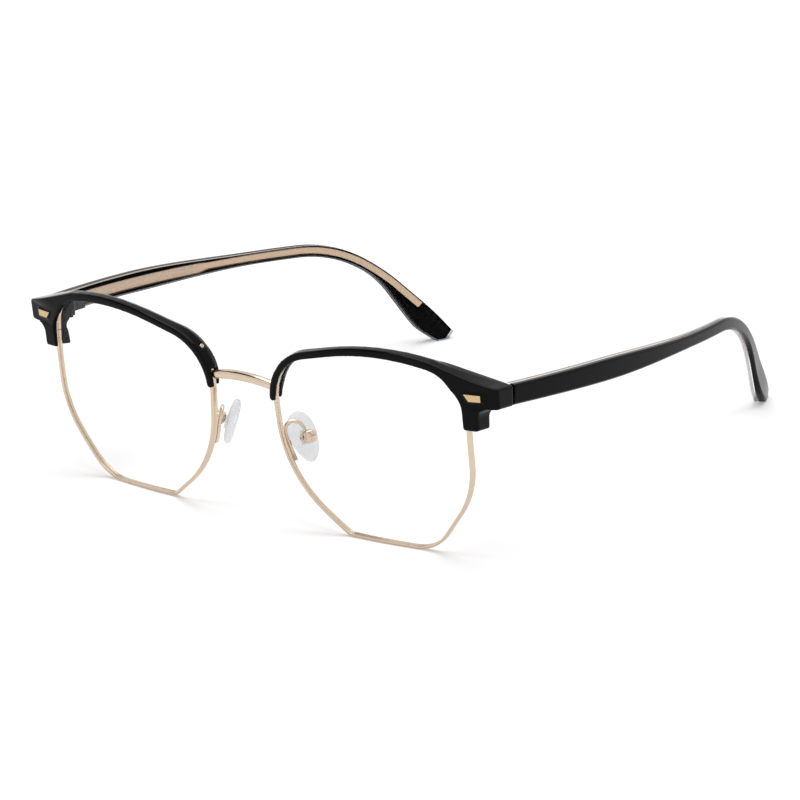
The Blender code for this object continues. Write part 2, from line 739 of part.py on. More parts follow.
def rivet(margin, front, back):
    """The trapezoid's prism, grown by a margin, between two depths of the brow's front face."""
    right = END_OUT - RIVET_INSET + margin
    top = END_TOP - RIVET_DROP + margin
    low = top - RIVET_HEIGHT - 2 * margin
    places = (
        Vector((right, top)),
        Vector((right, low)),
        Vector((right - RIVET_BOTTOM_WIDTH - 2 * margin, low)),
        Vector((right - RIVET_TOP_WIDTH - 2 * margin, top)),
    )
    return loft([[brow_point(place, depth) for place in places] for depth in (front, back)])


shape_by(brow, "rivet_pocket", rivet(FIT, -BROW_FRONT_WALL, RIVET_THICKNESS))
pair("rivet_plate", rivet(0.0, -RIVET_PROUD, RIVET_THICKNESS - FIT), GOLD)


# Brow screws: through the brow's nasal shoulder to the eyewire

screw_arc = corner_arc(lens_corners(0.0)[CORNER_TOP_NASAL])
screw_spoke = (edge_at(BROW_SCREW_HEIGHT, 0.0, RIGHT) - screw_arc[0]).normalized()
screw_seat = screw_arc[0] + screw_spoke * (screw_arc[1] + GROOVE_OUTSET)
screw_top = rim_point(screw_seat + screw_spoke * (BROW_WALL_SHOULDER + BROW_SCREW_PROUD), GROOVE_MIDDLE)
screw_end = rim_point(screw_seat, GROOVE_MIDDLE)
screw_axis = (screw_top - screw_end).normalized()
screw_length = (screw_top - screw_end).length
screw_bore = ((-GROOVE_OUTSET, BROW_SCREW_RADIUS + FIT), (2 * screw_length, BROW_SCREW_RADIUS + FIT))
shape_by(brow, "brow_screw_bore", turned(screw_end, screw_axis, screw_bore))
screw_profile = (
    (0.0, BROW_SCREW_RADIUS),
    (screw_length - BROW_SCREW_PROUD, BROW_SCREW_RADIUS),
    (screw_length, BROW_SCREW_RADIUS - BROW_SCREW_PROUD),
)
pair("brow_screw", turned(screw_end, screw_axis, screw_profile), GOLD)


# Bridge: an arched bar whose necks reach through the brows to the eyewires

bridge_seat = rim_point(edge_at(BRIDGE_HEIGHT, GROOVE_OUTSET, RIGHT), GROOVE_MIDDLE)
brow_side = rim_point(edge_at(BRIDGE_HEIGHT, GROOVE_OUTSET + BROW_WALL_SHOULDER, RIGHT), GROOVE_MIDDLE)
bridge_shoulder = brow_side.x - FIT


def bridge_ring(x, height, depth):
    """The bar's section at a distance from the middle, with its edges cut."""
    rise = 1.0 - (x / bridge_shoulder) ** 2 if abs(x) < bridge_shoulder else 0.0
    middle = Vector((x, bridge_seat.y - BRIDGE_BOW * rise, bridge_seat.z + BRIDGE_ARCH * rise))
    edge = min(BRIDGE_EDGE, height / 3, depth / 3)
    corners = []
    for sign_y, sign_z in ((-1, -1), (1, -1), (1, 1), (-1, 1)):
        tall = Vector((0.0, sign_y * depth / 2, sign_z * (height / 2 - edge)))
        deep = Vector((0.0, sign_y * (depth / 2 - edge), sign_z * height / 2))
        corners += [tall, deep] if sign_y == sign_z else [deep, tall]
    return [middle + corner for corner in reversed(corners)]


bridge_places = [bridge_shoulder * (2 * k / BRIDGE_STEPS - 1) for k in range(BRIDGE_STEPS + 1)]
bridge_rings = [bridge_ring(-bridge_seat.x, BRIDGE_NECK_HEIGHT, BRIDGE_NECK_DEPTH)]
bridge_rings.append(bridge_ring(-bridge_shoulder, BRIDGE_NECK_HEIGHT, BRIDGE_NECK_DEPTH))
bridge_rings += [bridge_ring(x, BRIDGE_THICK, BRIDGE_DEPTH) for x in bridge_places]
bridge_rings.append(bridge_ring(bridge_shoulder, BRIDGE_NECK_HEIGHT, BRIDGE_NECK_DEPTH))
bridge_rings.append(bridge_ring(bridge_seat.x, BRIDGE_NECK_HEIGHT, BRIDGE_NECK_DEPTH))
solid("bridge", loft(bridge_rings), GOLD)
notch_top = BRIDGE_HEIGHT + BRIDGE_THICK / 2 + FIT
notch_near = GROOVE_OUTSET - FIT / 2
notch_far = GROOVE_OUTSET + 2 * BROW_WALL_SHOULDER
notch_back = EYEWIRE_DEPTH + 2 * BROW_REAR_LIP + BROW_NASAL_DEPTH


def notch_ring(height):
    """Section of the notch that opens the brow's nasal side to the eyewire, behind its front wall."""
    near = edge_at(height, notch_near, RIGHT)
    far = edge_at(height, notch_far, RIGHT)
    return [
        rim_point(near, -FIT / 2),
        rim_point(far, -FIT / 2),
        rim_point(far, notch_back),
        rim_point(near, notch_back),
    ]


notch_low = BROW_NASAL_TIP - FIT
notch_heights = [mix(notch_low, notch_top, k / BAND_STEPS) for k in range(BAND_STEPS + 1)]
shape_by(brow, "bridge_notch", loft([notch_ring(height) for height in notch_heights]))


# Nose pads: a silicone oval on a stiff core whose tongue rocks on a screw in the arm's box

pad_turn = Matrix.Rotation(-PAD_SPLAY, 3, "Z") @ Matrix.Rotation(-PAD_FRONTAL, 3, "Y")
pad_deep = pad_turn @ Vector((0.0, 1.0, 0.0))
pad_up = pad_turn @ Vector((0.0, 0.0, 1.0))
pad_out = pad_turn @ Vector((1.0, 0.0, 0.0))
pad_axes = (pad_deep, pad_up, pad_out)
pad_long = pad_up * math.cos(PAD_LEAN) - pad_deep * math.sin(PAD_LEAN)
pad_wide = pad_deep * math.cos(PAD_LEAN) + pad_up * math.sin(PAD_LEAN)
pad_middle = Vector((PAD_SPREAD / 2, PAD_SETBACK, -PAD_DROP))
core_seat = pad_middle + pad_out * (PAD_THICKNESS / 2 + FIT)
tongue_base = core_seat + pad_out * CORE_BASE
pad_pivot = tongue_base + pad_out * TONGUE_REACH / 2 + pad_out * PAD_ROCK_ROOM
pad_holders = {
    side: axis_empty(f"nose_pad_{word}_axis", pad_pivot * Vector((side, 1.0, 1.0)))
    for side, word in SIDE_NAMES.items()
}


def pad_ring(out, shrink):
    """One level of the pad's oval, fuller at the top than at the bottom, which leans back."""
    ring = []
    for k in range(PAD_SIDES):
        turn = 2 * math.pi * k / PAD_SIDES
        along = math.sin(turn) * (PAD_LENGTH / 2) * shrink
        wide = math.cos(turn) * (PAD_WIDTH / 2) * shrink * (1.0 + PAD_FULLNESS * math.sin(turn))
        ring.append(pad_middle + pad_wide * wide + pad_long * along + pad_out * out)
    return ring


pad_turns = [math.pi * k / PAD_LEVELS for k in range(PAD_LEVELS + 1)]
pad_rings = [
    pad_ring(-math.cos(turn) * PAD_THICKNESS / 2, 1.0 - PAD_EDGE_SHARE * (1.0 - math.sin(turn)))
    for turn in pad_turns
]
pair("nose_pad", loft(pad_rings), SILICONE, pad_pivot, pad_holders)


def pad_slab(centre, deep, up):
    corners = ((1, 1), (-1, 1), (-1, -1), (1, -1))
    return [centre + pad_deep * (deep / 2 * a) + pad_up * (up / 2 * b) for a, b in corners]


tongue_length = TONGUE_REACH + PAD_ROCK_ROOM
core_rings = [
    pad_slab(core_seat, CORE_WIDTH, CORE_LENGTH),
    pad_slab(tongue_base, CORE_WIDTH, CORE_LENGTH),
    pad_slab(tongue_base, TONGUE_THICK, TONGUE_LENGTH),
    pad_slab(tongue_base + pad_out * tongue_length, TONGUE_THICK, TONGUE_LENGTH),
]
pad_core = pair("pad_core", loft(core_rings), LENS_PLASTIC, pad_pivot, pad_holders)

box_front = tongue_base + pad_out * PAD_ROCK_ROOM
slot_end = tongue_base + pad_out * (tongue_length + PAD_ROCK_ROOM)
box_end = slot_end + pad_out * BOX_BACK
box_middle = (box_front + box_end) / 2
box_sizes = (BOX_WIDTH, BOX_LENGTH, (box_end - box_front).length)
pad_box = pair("pad_box", block(box_middle, pad_axes, box_sizes), GOLD)
slot_front = box_front - pad_out * FIT
slot_sizes = (TONGUE_THICK + 2 * FIT, BOX_LENGTH - BOX_ROOF + FIT, (slot_end - slot_front).length)
slot_middle = (slot_front + slot_end) / 2 - pad_up * ((BOX_ROOF + FIT) / 2)
shape_by(pad_box, "pad_box_slot", block(slot_middle, pad_axes, slot_sizes))
pad_bore_reach = BOX_WIDTH / 2 + PAD_SCREW_HEAD_HEIGHT
pad_bore = turned(
    pad_pivot,
    pad_deep,
    ((-pad_bore_reach, PAD_SCREW_RADIUS + FIT), (pad_bore_reach, PAD_SCREW_RADIUS + FIT)),
)
shape_by(pad_core, "pad_core_bore", pad_bore)
shape_by(pad_box, "pad_box_bore", pad_bore)
pad_screw_profile = (
    (-BOX_WIDTH / 2 - FIT - PAD_SCREW_HEAD_HEIGHT, PAD_SCREW_HEAD),
    (-BOX_WIDTH / 2 - FIT, PAD_SCREW_HEAD),
    (-BOX_WIDTH / 2 - FIT, PAD_SCREW_RADIUS),
    (BOX_WIDTH / 2, PAD_SCREW_RADIUS),
)
pair("pad_screw", turned(pad_pivot, pad_deep, pad_screw_profile), GOLD)


# Pad arms: a foot behind the eyewire and a looped wire to the box

foot_heights = [mix(ARM_FOOT_BOTTOM, ARM_FOOT_TOP, k / FOOT_STEPS) for k in range(FOOT_STEPS + 1)]
foot_near = EYEWIRE_DEPTH + FIT
foot_far = foot_near + ARM_FOOT_THICK


def foot_ring(height):
    inner = edge_at(height, EYEWIRE_WALL - ARM_FOOT_WIDTH, RIGHT)
    outer = edge_at(height, EYEWIRE_WALL, RIGHT)
    return [
        rim_point(inner, foot_near),
        rim_point(outer, foot_near),
        rim_point(outer, foot_far),
        rim_point(inner, foot_far),
    ]


pad_arm = pair("pad_arm", loft([foot_ring(height) for height in foot_heights]), GOLD)
foot_outset = EYEWIRE_WALL - ARM_FOOT_WIDTH / 2
foot_depth = (foot_near + foot_far) / 2
foot_middle = (ARM_FOOT_BOTTOM + ARM_FOOT_TOP) / 2
arm_root = rim_point(edge_at(foot_middle, foot_outset, RIGHT), foot_depth)
arm_start = rim_point(edge_at(ARM_FOOT_TOP, foot_outset, RIGHT), foot_depth)
arm_end = box_middle + pad_up * (BOX_LENGTH / 2 + FIT) - pad_deep * ARM_LANDING
arm_up = arm_start + LENS_UP * ARM_RISE - LENS_ACROSS * ARM_SWING
arm_down = arm_end + pad_up * ARM_FALL
arm_loop = interpolate_bezier(arm_start, arm_up, arm_down, arm_end, ARM_STEPS)
shape_by(pad_arm, "pad_arm_wire", tube([arm_root, *arm_loop], ARM_RADIUS, WIRE_SIDES), "UNION")


# Temple line: a side view that slopes back, bends down and meets the floor, bowed in plan

end_top_seam = to_seam(brow_point(Vector((END_OUT, END_TOP)), 0.0))
end_bottom_seam = to_seam(brow_point(Vector((END_OUT, END_BOTTOM)), 0.0))
TEMPLE_START = SEAM_SETBACK + SEAM_GAP
temple_start = Vector((TEMPLE_START, (end_top_seam.z + end_bottom_seam.z) / 2))
BEND_SLOPE = TEMPLE_SLOPE + TEMPLE_DIP


def arc_from(start, radius, first, last):
    """Where a downward arc ends that turns from one slope to another."""
    back = math.sin(last) - math.sin(first)
    fall = math.cos(first) - math.cos(last)
    return start + Vector((back, -fall)) * radius


bend_start = arc_from(temple_start, TEMPLE_STRAIGHT / TEMPLE_DIP, TEMPLE_SLOPE, BEND_SLOPE)


def bend_end(drop):
    return arc_from(bend_start, TEMPLE_BEND_RADIUS, BEND_SLOPE, drop)


def tip_drop():
    """The tip's angle that brings its end down to rest on the floor, found by halving."""
    low = BEND_SLOPE
    high = math.pi / 2
    for _ in range(50):
        middle = (low + high) / 2
        if bend_end(middle).y - TEMPLE_TIP_LENGTH * math.sin(middle) > FLOOR + TEMPLE_TIP_REST:
            low = middle
        else:
            high = middle
    return low


DROP = tip_drop()
BEND_LENGTH = TEMPLE_BEND_RADIUS * (DROP - BEND_SLOPE)
TEMPLE_LENGTH = TEMPLE_STRAIGHT + BEND_LENGTH + TEMPLE_TIP_LENGTH
tip_end = bend_end(DROP) + Vector((math.cos(DROP), -math.sin(DROP))) * TEMPLE_TIP_LENGTH


def temple_line(run):
    """Place in side view (back, up) and downward slope at a run along the temple."""
    if run < TEMPLE_STRAIGHT:
        slope = TEMPLE_SLOPE + TEMPLE_DIP * run / TEMPLE_STRAIGHT
        return arc_from(temple_start, TEMPLE_STRAIGHT / TEMPLE_DIP, TEMPLE_SLOPE, slope), slope
    if run < TEMPLE_STRAIGHT + BEND_LENGTH:
        slope = BEND_SLOPE + (run - TEMPLE_STRAIGHT) / TEMPLE_BEND_RADIUS
        return bend_end(slope), slope
    past = run - TEMPLE_STRAIGHT - BEND_LENGTH
    return bend_end(DROP) + Vector((math.cos(DROP), -math.sin(DROP))) * past, DROP


def temple_width(run):
    """Height of the temple square to its line: full in front, a waist at the bend, a paddle behind."""
    if run < TEMPLE_FULL_END:
        return mix(TEMPLE_FRONT_WIDTH, TEMPLE_FULL_WIDTH, smooth(run / TEMPLE_FULL_END))
    if run < TEMPLE_PADDLE_START:
        share = (run - TEMPLE_FULL_END) / (TEMPLE_WAIST_START - TEMPLE_FULL_END)
        return mix(TEMPLE_FULL_WIDTH, TEMPLE_WAIST_WIDTH, smooth(share))
    share = (run - TEMPLE_PADDLE_START) / (TEMPLE_LENGTH - TIP_TUCK_LENGTH / 2 - TEMPLE_PADDLE_START)
    return mix(TEMPLE_WAIST_WIDTH, TEMPLE_PADDLE_WIDTH, smooth(share))


def temple_bow(back):
    """Sideways place of the temple's outer face: splayed at the hinge and toed in at the tip."""
    length = tip_end.x - TEMPLE_START
    t = (back - TEMPLE_START) / length
    out = math.tan(TEMPLE_SPLAY) * length
    toe = -math.tan(TIP_TOE_IN) * length
    cubic = toe + out + 2 * TIP_INSET
    square = -TIP_INSET - out - cubic
    return end_top_seam.x + out * t + square * t**2 + cubic * t**3


def temple_inward(back):
    """Direction square to the temple's face in plan, toward the head."""
    step = FIT
    slope = (temple_bow(back + step) - temple_bow(back - step)) / (2 * step)
    return Vector((-1.0, slope, 0.0)).normalized()


def temple_place(back, up, inset):
    """A point at a side view place, a distance inside the temple's outer face."""
    inward = temple_inward(back)
    return Vector((temple_bow(back), back, up)) + inward * inset


def temple_station(run):
    """Top and bottom edge of the temple in side view. The bottom is ground flat on the floor."""
    middle, slope = temple_line(run)
    past = max(run - TEMPLE_LENGTH + TEMPLE_PADDLE_WIDTH, 0.0) / TEMPLE_PADDLE_WIDTH
    lean = slope - TIP_END_RAKE * past
    across = Vector((math.sin(lean), math.cos(lean)))
    half = temple_width(run) / 2
    tuck = TIP_TUCK * smooth((run - TEMPLE_LENGTH + TIP_TUCK_LENGTH) / TIP_TUCK_LENGTH)
    top = middle + across * half
    bottom = middle - across * (half * (1.0 - tuck))
    if bottom.y < FLOOR:
        bottom = top.lerp(bottom, (top.y - FLOOR) / (top.y - bottom.y))
    return top, bottom


temple_runs = [TEMPLE_LENGTH * k / TEMPLE_STEPS for k in range(TEMPLE_STEPS + 1)]


def thinning(run, front, tip):
    """Thickness of a layer, which is thinner at the tip than in front."""
    return mix(front, tip, smooth((run - THINNING_START) / (THINNING_END - THINNING_START)))


def outer_face(run):
    """The outer face stands out a little at the tip, which ends in a swelling."""
    return -TIP_SWELL * smooth((run - TEMPLE_LENGTH + TIP_SWELL_LENGTH) / TIP_SWELL_LENGTH)


def outer_back(run):
    return thinning(run, TEMPLE_OUTER_THICK, TIP_OUTER_THICK)


def inner_front(run):
    return outer_back(run) + LAMINATION_GAP


def inner_face(run):
    return inner_front(run) + thinning(run, TEMPLE_INNER_THICK, TIP_INNER_THICK)


def temple_layer(near_at, far_at, near_edge, far_edge):
    """One layer between two depths inside the outer face, with its long edges eased."""
    rings = []
    for run in temple_runs:
        top, bottom = temple_station(run)
        span = (top - bottom).normalized()
        near = near_at(run)
        far = far_at(run)

        def place(level, ease, inset):
            spot = level + span * ease
            return temple_place(spot.x, spot.y, inset)

        rings.append([
            place(top, -near_edge, near),
            place(top, 0.0, near + near_edge),
            place(top, 0.0, far - far_edge),
            place(top, -far_edge, far),
            place(bottom, far_edge, far),
            place(bottom, 0.0, far - far_edge),
            place(bottom, 0.0, near + near_edge),
            place(bottom, near_edge, near),
        ])
    return loft(rings)


# Hinges: leaves and knuckles on a vertical screw, inside the corner of front and temple

temple_thick = inner_face(0.0)
UP = Vector((0.0, 0.0, 1.0))
BACK = Vector((0.0, 1.0, 0.0))
hinge_level = temple_line(0.0)[0].y - HINGE_DROP
hinge_reach = HINGE_LEAF + HINGE_GAP + HINGE_RADIUS
temple_inside = temple_place(TEMPLE_START, hinge_level, temple_thick)
hinge_axis = Vector((
    temple_inside.x - FIT - hinge_reach,
    SEAM_SETBACK + FIT + hinge_reach,
    hinge_level,
))
temple_holders = {
    side: axis_empty(f"temple_{word}_axis", hinge_axis * Vector((side, 1.0, 1.0)))
    for side, word in SIDE_NAMES.items()
}
knuckle_step = HINGE_KNUCKLE + HINGE_GAP
hinge_height = 2 * knuckle_step + HINGE_KNUCKLE
knuckle_profile = ((-HINGE_KNUCKLE / 2, HINGE_RADIUS), (HINGE_KNUCKLE / 2, HINGE_RADIUS))
hinge_bore_radius = HINGE_SCREW_RADIUS + FIT
hinge_bore = turned(hinge_axis, UP, ((-hinge_height, hinge_bore_radius), (hinge_height, hinge_bore_radius)))

front_leaf_centre = Vector((
    hinge_axis.x - HINGE_FRONT_LEAF_WIDTH / 2 + HINGE_RADIUS,
    SEAM_SETBACK + FIT + HINGE_LEAF / 2,
    hinge_level,
))
leaf_axes = (Vector((1.0, 0.0, 0.0)), BACK, UP)
front_leaf = block(front_leaf_centre, leaf_axes, (HINGE_FRONT_LEAF_WIDTH, HINGE_LEAF, hinge_height))
hinge_front = pair("hinge_front", front_leaf, DARK_STEEL)
for word, level in (("upper", knuckle_step), ("lower", -knuckle_step)):
    knuckle_centre = hinge_axis + UP * level
    web_sizes = (2 * HINGE_SCREW_RADIUS + HINGE_RADIUS, hinge_reach - HINGE_LEAF / 2, HINGE_KNUCKLE)
    web_centre = knuckle_centre - BACK * (web_sizes[1] / 2)
    shape_by(hinge_front, f"hinge_front_{word}_web", block(web_centre, leaf_axes, web_sizes), "UNION")
    knuckle = turned(knuckle_centre, UP, knuckle_profile, KNUCKLE_SIDES)
    shape_by(hinge_front, f"hinge_front_{word}_knuckle", knuckle, "UNION")
shape_by(hinge_front, "hinge_front_bore", hinge_bore)


def temple_leaf_ring(back):
    """Section of the temple's leaf, which lies along the inner face."""
    middle = hinge_level - (back - hinge_axis.y) * math.tan(TEMPLE_SLOPE)
    ring = []
    for inset, rise in ((FIT, 1), (FIT + HINGE_LEAF, 1), (FIT + HINGE_LEAF, -1), (FIT, -1)):
        ring.append(temple_place(back, middle + rise * hinge_height / 2, temple_thick + inset))
    return ring


leaf_first = hinge_axis.y - HINGE_RADIUS / 2
leaf_backs = [leaf_first + HINGE_TEMPLE_LEAF_LENGTH * k / LEAF_STEPS for k in range(LEAF_STEPS + 1)]
temple_leaf = loft([temple_leaf_ring(back) for back in leaf_backs])
hinge_temple = pair("hinge_temple", temple_leaf, DARK_STEEL, hinge_axis, temple_holders)
temple_web_sizes = (hinge_reach - HINGE_LEAF / 2, 2 * HINGE_SCREW_RADIUS + HINGE_RADIUS, HINGE_KNUCKLE)
temple_web_centre = hinge_axis + Vector((temple_web_sizes[0] / 2, HINGE_RADIUS / 4, 0.0))
temple_web = block(temple_web_centre, leaf_axes, temple_web_sizes)
shape_by(hinge_temple, "hinge_temple_web", temple_web, "UNION")
temple_knuckle = turned(hinge_axis, UP, knuckle_profile, KNUCKLE_SIDES)
shape_by(hinge_temple, "hinge_temple_knuckle", temple_knuckle, "UNION")
shape_by(hinge_temple, "hinge_temple_bore", hinge_bore)

hinge_screw_profile = (
    (-hinge_height / 2, HINGE_SCREW_RADIUS),
    (hinge_height / 2 + FIT, HINGE_SCREW_RADIUS),
    (hinge_height / 2 + FIT, HINGE_HEAD_RADIUS),
    (hinge_height / 2 + FIT + HINGE_HEAD_HEIGHT, HINGE_HEAD_RADIUS),
)
pair("hinge_screw", turned(hinge_axis, UP, hinge_screw_profile), DARK_STEEL)


# Temples: a black outer layer and a clear inner layer over a metal core

outer_skin = temple_layer(outer_face, outer_back, TEMPLE_EDGE, LAMINATION_GAP)
pair("temple_outer", outer_skin, BLACK_ACETATE, hinge_axis, temple_holders)
inner_skin = temple_layer(inner_front, inner_face, LAMINATION_GAP, TEMPLE_EDGE)
temple_inner = pair("temple_inner", inner_skin, CLEAR_ACETATE, hinge_axis, temple_holders)


def core_ring(run, margin, near_gap):
    """Section of the core at a run along the temple, grown by a margin, from a gap at its near side."""
    line, slope = temple_line(run)
    past = smooth((run - CORE_WIDE_END) / CORE_POINT_LENGTH)
    half = mix(CORE_WIDE, CORE_ROD, past) / 2 + margin
    across = Vector((math.sin(slope), math.cos(slope)))
    lift = (temple_width(run) - TEMPLE_WAIST_WIDTH) / 2 if run > TEMPLE_PADDLE_START else 0.0
    middle = line + across * (lift + CORE_ROD_RISE * past)
    near = inner_front(run) + near_gap
    far = inner_front(run) + FIT + CORE_THICK + margin
    ring = []
    for inset, rise in ((near, half), (far, half), (far, -half), (near, -half)):
        spot = middle + across * rise
        ring.append(temple_place(spot.x, spot.y, inset))
    return ring


def core_runs():
    """Where the core's sections lie: its ends, its point and the temple's own stations between."""
    marks = [CORE_START, CORE_WIDE_END, CORE_WIDE_END + CORE_POINT_LENGTH, CORE_END]
    marks += [CORE_WIDE_END + CORE_POINT_LENGTH / 2]
    marks += [run for run in temple_runs if CORE_START < run < CORE_END]
    return sorted(set(marks))


core = loft([core_ring(run, 0.0, FIT) for run in core_runs()])
pair("core_wire", core, GOLD, hinge_axis, temple_holders)
slot_runs = core_runs()
slot_runs[0] -= FIT
slot_runs[-1] += FIT
slot = loft([core_ring(run, FIT, -LAMINATION_GAP) for run in slot_runs])
shape_by(temple_inner, "core_slot", slot)


# Stand the whole on the floor, with the middle of its length over the origin

bpy.context.view_layer.update()
shown = [piece for piece in bpy.data.objects if piece.type == "MESH" and not piece.hide_render]
reach = [(piece.matrix_world @ vertex.co).y for piece in shown for vertex in piece.data.vertices]
root.location = (0.0, -(min(reach) + max(reach)) / 2, -FLOOR)
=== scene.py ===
import math

import bmesh
import bpy
from mathutils import Matrix, Vector


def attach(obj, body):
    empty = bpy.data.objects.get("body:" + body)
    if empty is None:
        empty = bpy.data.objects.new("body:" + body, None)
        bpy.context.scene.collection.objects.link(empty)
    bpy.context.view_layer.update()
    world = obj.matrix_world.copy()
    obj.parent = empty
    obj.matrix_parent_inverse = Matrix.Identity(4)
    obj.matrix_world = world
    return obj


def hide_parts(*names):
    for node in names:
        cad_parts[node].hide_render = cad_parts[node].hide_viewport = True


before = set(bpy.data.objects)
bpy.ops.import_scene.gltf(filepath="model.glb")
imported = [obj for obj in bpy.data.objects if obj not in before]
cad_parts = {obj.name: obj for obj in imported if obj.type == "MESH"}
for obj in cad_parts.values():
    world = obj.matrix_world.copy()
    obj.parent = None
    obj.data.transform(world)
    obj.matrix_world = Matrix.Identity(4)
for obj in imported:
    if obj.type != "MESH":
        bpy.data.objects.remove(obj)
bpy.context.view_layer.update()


# The studio is a pale sheet under the frame, a soft box overhead and white paper all round.
# The paper is white to the eye and in reflections; the light that it throws is softer.
FLOOR_HALF = 0.7
FLOOR_COLOUR = (0.93, 0.925, 0.93, 1.0)
FLOOR_LIFT = 0.3
PAPER_COLOUR = (1.0, 1.0, 1.0, 1.0)
PAPER_LIGHT = 0.2
BOX_SIDE = 1.9
BOX_PLACE = (0.0, 0.0, 2.0)
BOX_WATTS = 35.5
SHEET_CORNERS = ((-1, -1), (1, -1), (1, 1), (-1, 1))
RAYS_THAT_SEE = ("Is Camera Ray", "Is Glossy Ray", "Is Transmission Ray")

scene = bpy.context.scene


class Socket:
    """A node's output that takes part in sums, so that a material's maths reads as plain Python."""

    def __init__(self, tree, output):
        self.tree = tree
        self.output = output

    def sum(self, operation, first, second):
        return self.tree.node("ShaderNodeMath", {"operation": operation}, {0: first, 1: second})

    def __add__(self, other):
        return self.sum("ADD", self, other)

    def __radd__(self, other):
        return self.sum("ADD", other, self)

    def __sub__(self, other):
        return self.sum("SUBTRACT", self, other)

    def __rsub__(self, other):
        return self.sum("SUBTRACT", other, self)

    def __mul__(self, other):
        return self.sum("MULTIPLY", self, other)

    def __rmul__(self, other):
        return self.sum("MULTIPLY", other, self)

    def most(self, other):
        return self.sum("MAXIMUM", self, other)


class Tree:
    """A node tree that starts empty. One method adds any node, with its settings set first."""

    def __init__(self, group):
        self.nodes = group.nodes
        self.links = group.links
        self.nodes.clear()

    def node(self, kind, settings, inputs, output=0):
        made = self.nodes.new(kind)
        for name, value in settings.items():
            setattr(made, name, value)
        for name, value in inputs.items():
            if isinstance(value, Socket):
                self.links.new(value.output, made.inputs[name])
            else:
                made.inputs[name].default_value = value
        return Socket(self, made.outputs[output]) if made.outputs else None

    def along(self, axis, source="Object"):
        """A point's place along an axis of its piece or, with Normal, how far its surface faces that way."""
        vector = self.node("ShaderNodeTexCoord", {}, {}, source)
        return self.node("ShaderNodeSeparateXYZ", {}, {"Vector": vector}, axis)

    def noise(self, scale, detail=2.0):
        place = self.node("ShaderNodeTexCoord", {}, {}, "Object")
        return self.node("ShaderNodeTexNoise", {}, {"Vector": place, "Scale": scale, "Detail": detail})

    def between(self, share, low, high):
        """A colour that goes from low to high as the share goes from none to one."""
        return self.node("ShaderNodeMix", {"data_type": "RGBA"}, {"Factor": share, 6: low, 7: high}, 2)

    def ramp(self, value, start, full):
        """A share that is none where the value is at the start, and one where it is full."""
        return self.node("ShaderNodeMapRange", {}, {"Value": value, "From Min": start, "From Max": full})

    def seen(self):
        """One for a ray that brings a surface to the eye, and none for a ray that only brings light."""
        direct, mirrored, through = (self.node("ShaderNodeLightPath", {}, {}, ray) for ray in RAYS_THAT_SEE)
        return direct.most(mirrored).most(through)


def finish_tree(owner):
    owner.use_nodes = True
    return Tree(owner.node_tree)


def new_finish(name):
    """A material with an empty tree, and that tree."""
    finish = bpy.data.materials.new(name)
    return finish, finish_tree(finish)


def stage_sheet(name, corners, finish):
    """A flat sheet of the studio, which is no piece of the frame."""
    mesh = bpy.data.meshes.new(name)
    mesh.from_pydata(corners, [], [(0, 1, 2, 3)])
    mesh.materials.append(finish)
    sheet = bpy.data.objects.new(name, mesh)
    scene.collection.objects.link(sheet)
    return sheet


world = bpy.data.worlds.new("white_paper")
scene.world = world
tree = finish_tree(world)
glow = tree.seen() * (1.0 - PAPER_LIGHT) + PAPER_LIGHT
paper = tree.node("ShaderNodeBackground", {}, {"Color": PAPER_COLOUR, "Strength": glow})
tree.node("ShaderNodeOutputWorld", {}, {"Surface": paper})

pale_sheet, tree = new_finish("pale_sheet")
matte = tree.node("ShaderNodeBsdfDiffuse", {}, {"Color": FLOOR_COLOUR})
lift = tree.node("ShaderNodeEmission", {}, {"Strength": tree.seen() * FLOOR_LIFT})
both = tree.node("ShaderNodeAddShader", {}, {0: matte, 1: lift})
tree.node("ShaderNodeOutputMaterial", {}, {"Surface": both})
floor_corners = [(x * FLOOR_HALF, y * FLOOR_HALF, 0.0) for x, y in SHEET_CORNERS]
stage_sheet("floor", floor_corners, pale_sheet)

soft_box = bpy.data.lights.new("soft_box", "AREA")
soft_box.size = BOX_SIDE
soft_box.energy = BOX_WATTS
box = bpy.data.objects.new("soft_box", soft_box)
box.location = BOX_PLACE
scene.collection.objects.link(box)


# A dark card is held up in front, on the wearer's right and above the frame, facing it.
# It throws no shadow: it only gives the metal a dark streak beside its bright ones.
CARD_PLACE = Vector((-0.5, -0.36, 0.62))
CARD_WIDE = 0.7
CARD_HIGH = 0.42
CARD_COLOUR = (0.015, 0.014, 0.013, 1.0)
STRAIGHT_UP = Vector((0.0, 0.0, 1.0))

dark_card, tree = new_finish("dark_card")
matte = tree.node("ShaderNodeBsdfDiffuse", {}, {"Color": CARD_COLOUR})
tree.node("ShaderNodeOutputMaterial", {}, {"Surface": matte})
sideways = STRAIGHT_UP.cross(CARD_PLACE).normalized() * (CARD_WIDE / 2)
upward = CARD_PLACE.cross(sideways).normalized() * (CARD_HIGH / 2)
card_corners = [CARD_PLACE + sideways * x + upward * y for x, y in SHEET_CORNERS]
card = stage_sheet("dark_card", card_corners, dark_card)
card.visible_camera = False
card.visible_diffuse = False
card.visible_shadow = False


# The camera stands well back in front, on the wearer's left and above the brow, with a long lens.
# It looks down a little and is rolled by a degree or two. Angles are in radians.
CAMERA_TURN = 0.65784
CAMERA_RISE = 0.31129
CAMERA_ROLL = -0.02985
CAMERA_PLACE = (0.563139, -0.740835, 0.304938)
CAMERA_LENS = 176.1407
CAMERA_SHIFT = (-0.004408, 0.024936)

